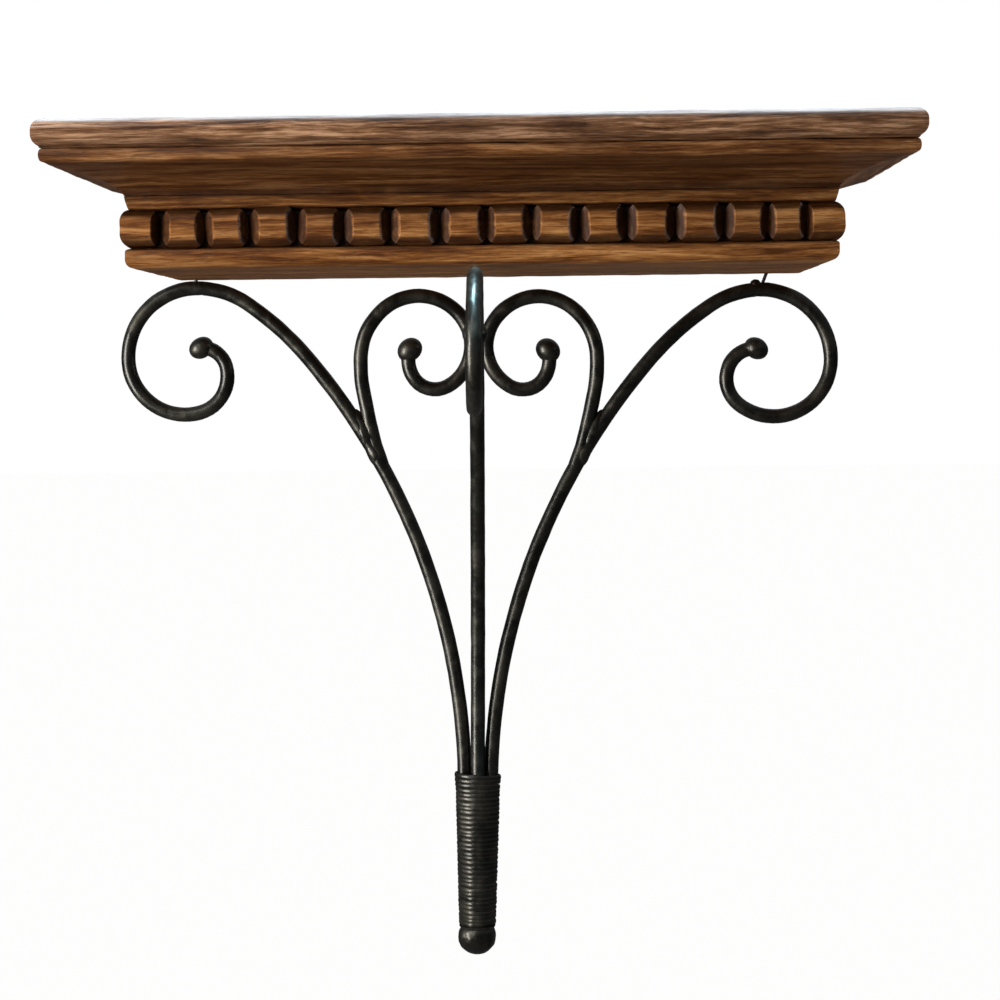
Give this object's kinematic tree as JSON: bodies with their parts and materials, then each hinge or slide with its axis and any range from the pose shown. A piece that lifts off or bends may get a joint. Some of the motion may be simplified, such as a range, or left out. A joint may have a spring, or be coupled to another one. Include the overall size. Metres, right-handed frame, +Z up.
{
  "type": "wall shelf on a wrought iron scroll bracket",
  "caption": "Moulded oak wall shelf with a row of carved beads, held on a black wrought iron scroll bracket with a wire-bound foot.",
  "frame": {"origin": "on the wall, at the middle of the beaded block's back face", "axes": "+X to the right seen from the room, +Y into the wall, +Z up"},
  "size_m": [0.508, 0.254, 0.5352],
  "materials": {
    "oak": "stained and waxed oak, satin",
    "black_iron": "wrought iron, blackened and waxed, satin",
    "dull_steel": "dull dark steel"
  },
  "bodies": {
    "root": {"top_board": "oak", "cornice_board": "oak", "beaded_block": "oak", "outer_scroll_left": "black_iron", "outer_scroll_right": "black_iron", "inner_scroll_left": "black_iron", "inner_scroll_right": "black_iron", "front_scroll": "black_iron", "wire_wrap": "black_iron", "end_ball": "black_iron", "fixing_screw_left": "dull_steel", "fixing_screw_right": "dull_steel"}
  },
  "joints": []
}
